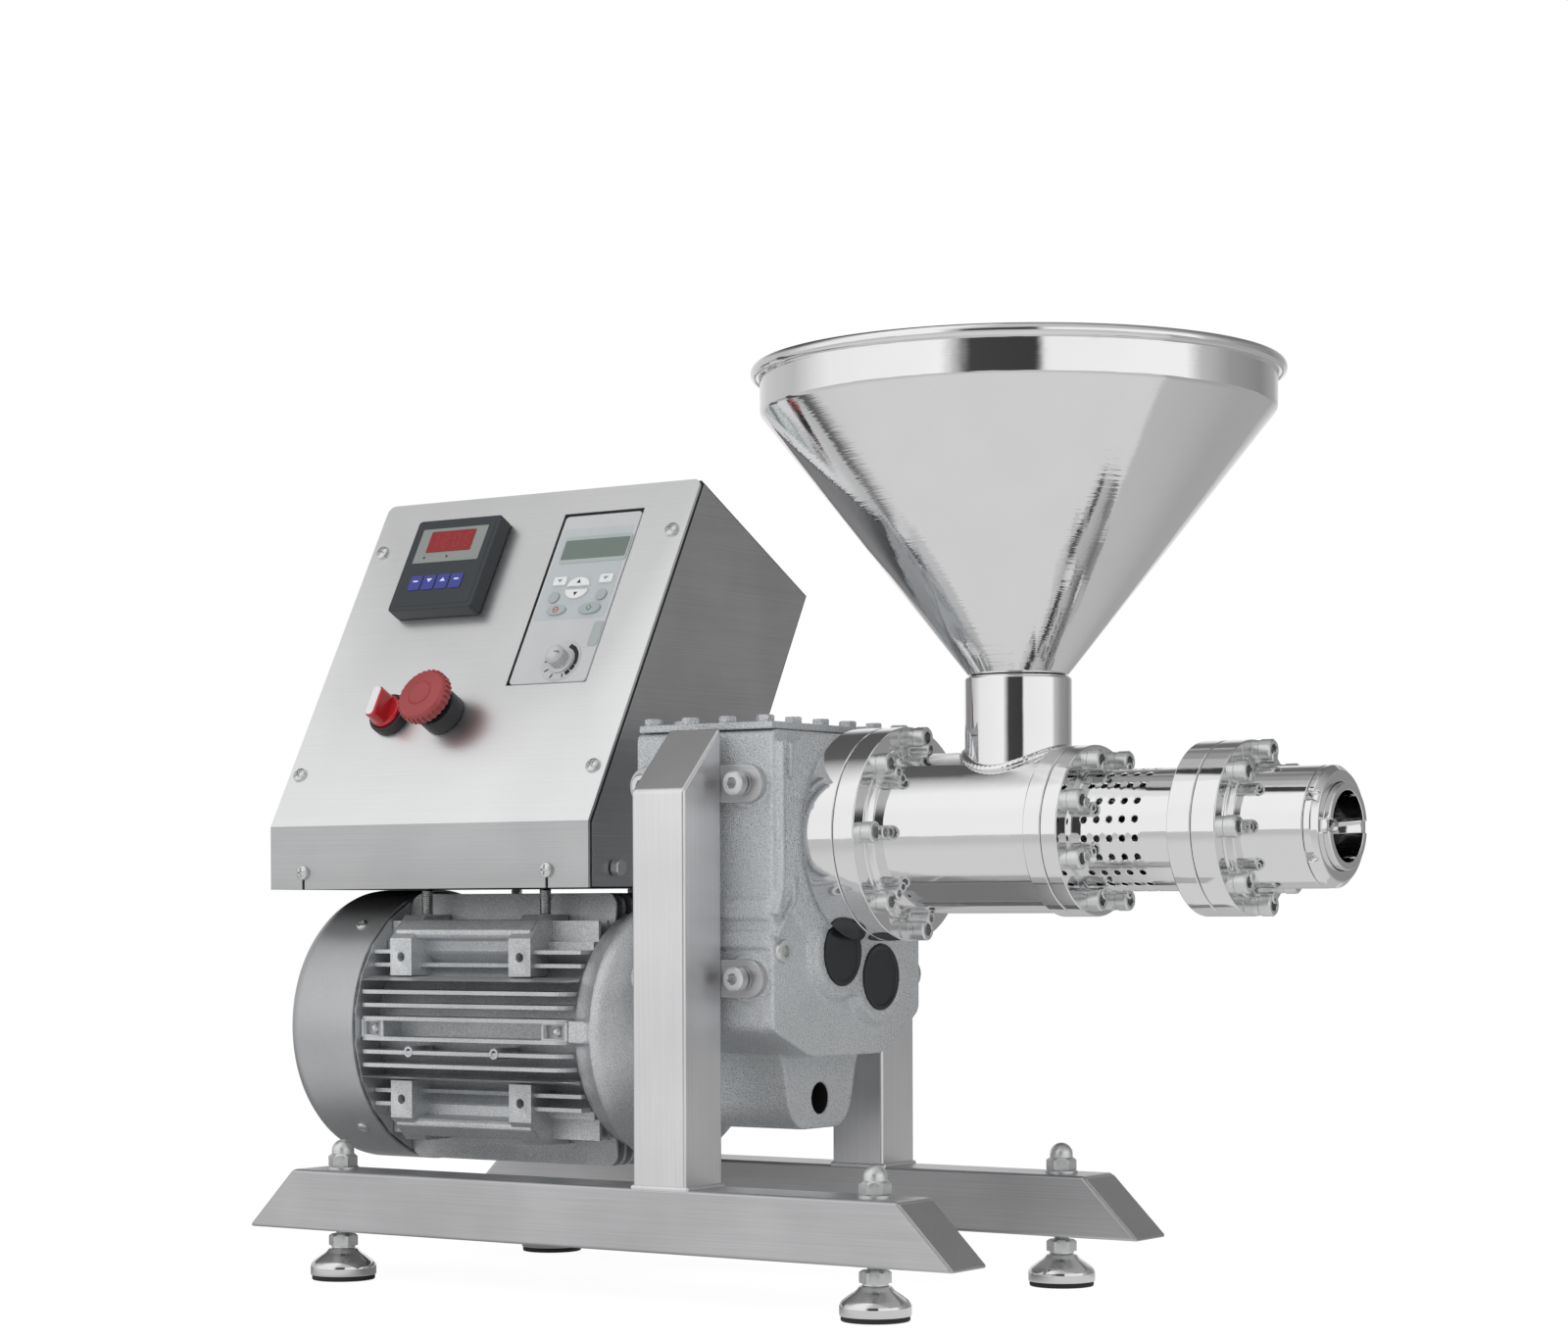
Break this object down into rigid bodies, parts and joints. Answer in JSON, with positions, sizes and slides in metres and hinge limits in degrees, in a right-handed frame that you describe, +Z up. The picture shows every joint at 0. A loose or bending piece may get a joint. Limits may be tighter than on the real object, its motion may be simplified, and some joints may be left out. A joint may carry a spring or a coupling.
{
  "type": "screw oil press",
  "caption": "Screw oil press on a skid frame: finned motor, gearbox, perforated drain cage, seed hopper and slanted control box.",
  "frame": {"origin": "on the floor under the centre of the press's bounding box", "axes": "+X along the barrel towards the cake outlet, +Y towards the back of the control box, +Z up"},
  "size_m": [0.7652, 0.3318, 0.5779],
  "materials": {
    "frame_steel": "brushed stainless tube",
    "gearbox_paint": "silver-grey paint on a casting",
    "motor_paint": "silver-grey paint on a casting",
    "cowl_paint": "silver-grey paint on sheet",
    "box_steel": "brushed stainless sheet",
    "polished_steel": "polished stainless",
    "machined_steel": "machined",
    "foot_chrome": "polished",
    "stator_core": "laminated core and windings",
    "black_plastic": "matt",
    "drive_plastic": "matt",
    "red_plastic": "satin",
    "selector_plastic": "gloss"
  },
  "bodies": {
    "frame": {"adapter_flange": "polished_steel", "box_body": "box_steel", "drain_cage": "polished_steel", "drive_unit": "drive_plastic", "estop_collar": "black_plastic", "fan_cowl": "cowl_paint", "feed_barrel": "polished_steel", "front_panel": "box_steel", "gearbox_cover": "gearbox_paint", "gearbox_housing": "gearbox_paint", "motor_bearing_front": "machined_steel", "motor_bearing_rear": "machined_steel", "motor_drive_shield": "motor_paint", "motor_housing": "motor_paint", "motor_rear_shield": "motor_paint", "output_bearing_front": "machined_steel", "output_bearing_rear": "machined_steel", "post_front": "frame_steel", "post_rear": "frame_steel", "press_head": "polished_steel", "ring_nut": "polished_steel", "selector_bezel": "black_plastic", "shaft_cap_far": "black_plastic", "shaft_cap_near": "black_plastic", "skid_front": "frame_steel", "skid_rear": "frame_steel", "stator": "stator_core", "temperature_controller": "black_plastic"},
    "motor_rotor": {"rotor_shaft": "machined_steel", "motor_pinion": "machined_steel", "fan": "black_plastic"},
    "layshaft_1_body": {"layshaft_1": "machined_steel", "layshaft_1_gear": "machined_steel"},
    "layshaft_2_body": {"layshaft_2": "machined_steel", "layshaft_2_gear": "machined_steel"},
    "output_drive": {"output_shaft": "machined_steel", "output_gear": "machined_steel", "press_screw": "machined_steel"},
    "hopper_body": {"hopper": "polished_steel"},
    "outlet_body": {"outlet_sleeve": "polished_steel"},
    "estop_plunger": {"estop_stem": "black_plastic"},
    "estop_button": {"estop_head": "red_plastic"},
    "selector": {"selector_knob": "selector_plastic"},
    "speed_knob": {"drive_knob": "drive_plastic"},
    "key_up_body": {"key_up": "drive_plastic"},
    "key_down_body": {"key_down": "drive_plastic"},
    "key_menu_left_body": {"key_menu_left": "drive_plastic"},
    "key_menu_right_body": {"key_menu_right": "drive_plastic"},
    "key_round_left_body": {"key_round_left": "drive_plastic"},
    "key_round_right_body": {"key_round_right": "drive_plastic"},
    "key_stop_body": {"key_stop": "drive_plastic"},
    "key_start_body": {"key_start": "drive_plastic"},
    "foot_front_left": {"foot_base_front_left": "foot_chrome", "foot_stem_front_left": "machined_steel"},
    "foot_front_right": {"foot_base_front_right": "foot_chrome", "foot_stem_front_right": "machined_steel"},
    "foot_rear_left": {"foot_base_rear_left": "foot_chrome", "foot_stem_rear_left": "machined_steel"},
    "foot_rear_right": {"foot_base_rear_right": "foot_chrome", "foot_stem_rear_right": "machined_steel"}
  },
  "joints": [
    {"name": "motor_spin", "type": "hinge", "parent": "frame", "child": "motor_rotor", "pos_m": [-0.03785, -0.00277, 0.1663], "axis": [1, 0, 0], "continuous": true},
    {"name": "layshaft_1_spin", "type": "hinge", "parent": "frame", "child": "layshaft_1_body", "pos_m": [-0.03785, 0.02583, 0.2015], "axis": [1, 0, 0], "continuous": true},
    {"name": "layshaft_2_spin", "type": "hinge", "parent": "frame", "child": "layshaft_2_body", "pos_m": [-0.03785, -0.01887, 0.2178], "axis": [1, 0, 0], "continuous": true},
    {"name": "output_spin", "type": "hinge", "parent": "frame", "child": "output_drive", "pos_m": [-0.03785, -0.00277, 0.2922], "axis": [1, 0, 0], "continuous": true},
    {"name": "hopper_lift", "type": "slide", "parent": "frame", "child": "hopper_body", "axis": [0, 0, 1], "range_m": [0, 0.08]},
    {"name": "outlet_adjust", "type": "slide", "parent": "frame", "child": "outlet_body", "axis": [1, 0, 0], "range_m": [-0.003, 0.005]},
    {"name": "estop_push", "type": "slide", "parent": "frame", "child": "estop_plunger", "axis": [0, 0.8783, -0.4781], "range_m": [0, 0.004]},
    {"name": "estop_twist", "type": "hinge", "parent": "estop_plunger", "child": "estop_button", "pos_m": [-0.26065, -0.04717, 0.37692], "axis": [0, 0.8783, -0.4781], "range_deg": [0, 30], "stiffness_Nm_per_rad": 0.05},
    {"name": "selector_turn", "type": "hinge", "parent": "frame", "child": "selector", "pos_m": [-0.30765, -0.04693, 0.37736], "axis": [0, 0.8783, -0.4781], "range_deg": [0, 90]},
    {"name": "speed_knob_turn", "type": "hinge", "parent": "frame", "child": "speed_knob", "pos_m": [-0.17365, -0.02915, 0.41003], "axis": [0, 0.8783, -0.4781], "range_deg": [0, 270]},
    {"name": "key_up_press", "type": "slide", "parent": "frame", "child": "key_up_body", "axis": [0, 0.8783, -0.4781], "range_m": [0, 0.0008], "stiffness_N_per_m": 400},
    {"name": "key_down_press", "type": "slide", "parent": "frame", "child": "key_down_body", "axis": [0, 0.8783, -0.4781], "range_m": [0, 0.0008], "stiffness_N_per_m": 400},
    {"name": "key_menu_left_press", "type": "slide", "parent": "frame", "child": "key_menu_left_body", "axis": [0, 0.8783, -0.4781], "range_m": [0, 0.0008], "stiffness_N_per_m": 400},
    {"name": "key_menu_right_press", "type": "slide", "parent": "frame", "child": "key_menu_right_body", "axis": [0, 0.8783, -0.4781], "range_m": [0, 0.0008], "stiffness_N_per_m": 400},
    {"name": "key_round_left_press", "type": "slide", "parent": "frame", "child": "key_round_left_body", "axis": [0, 0.8783, -0.4781], "range_m": [0, 0.0008], "stiffness_N_per_m": 400},
    {"name": "key_round_right_press", "type": "slide", "parent": "frame", "child": "key_round_right_body", "axis": [0, 0.8783, -0.4781], "range_m": [0, 0.0008], "stiffness_N_per_m": 400},
    {"name": "key_stop_press", "type": "slide", "parent": "frame", "child": "key_stop_body", "axis": [0, 0.8783, -0.4781], "range_m": [0, 0.0008], "stiffness_N_per_m": 400},
    {"name": "key_start_press", "type": "slide", "parent": "frame", "child": "key_start_body", "axis": [0, 0.8783, -0.4781], "range_m": [0, 0.0008], "stiffness_N_per_m": 400},
    {"name": "foot_front_left_height", "type": "slide", "parent": "frame", "child": "foot_front_left", "axis": [0, 0, -1], "range_m": [0, 0.01]},
    {"name": "foot_front_right_height", "type": "slide", "parent": "frame", "child": "foot_front_right", "axis": [0, 0, -1], "range_m": [0, 0.01]},
    {"name": "foot_rear_left_height", "type": "slide", "parent": "frame", "child": "foot_rear_left", "axis": [0, 0, -1], "range_m": [0, 0.01]},
    {"name": "foot_rear_right_height", "type": "slide", "parent": "frame", "child": "foot_rear_right", "axis": [0, 0, -1], "range_m": [0, 0.01]}
  ],
  "couplings": [
    {"joint": "layshaft_1_spin", "follows": "motor_spin", "ratio": -0.35484},
    {"joint": "layshaft_2_spin", "follows": "motor_spin", "ratio": 0.11828},
    {"joint": "output_spin", "follows": "motor_spin", "ratio": -0.031541}
  ]
}
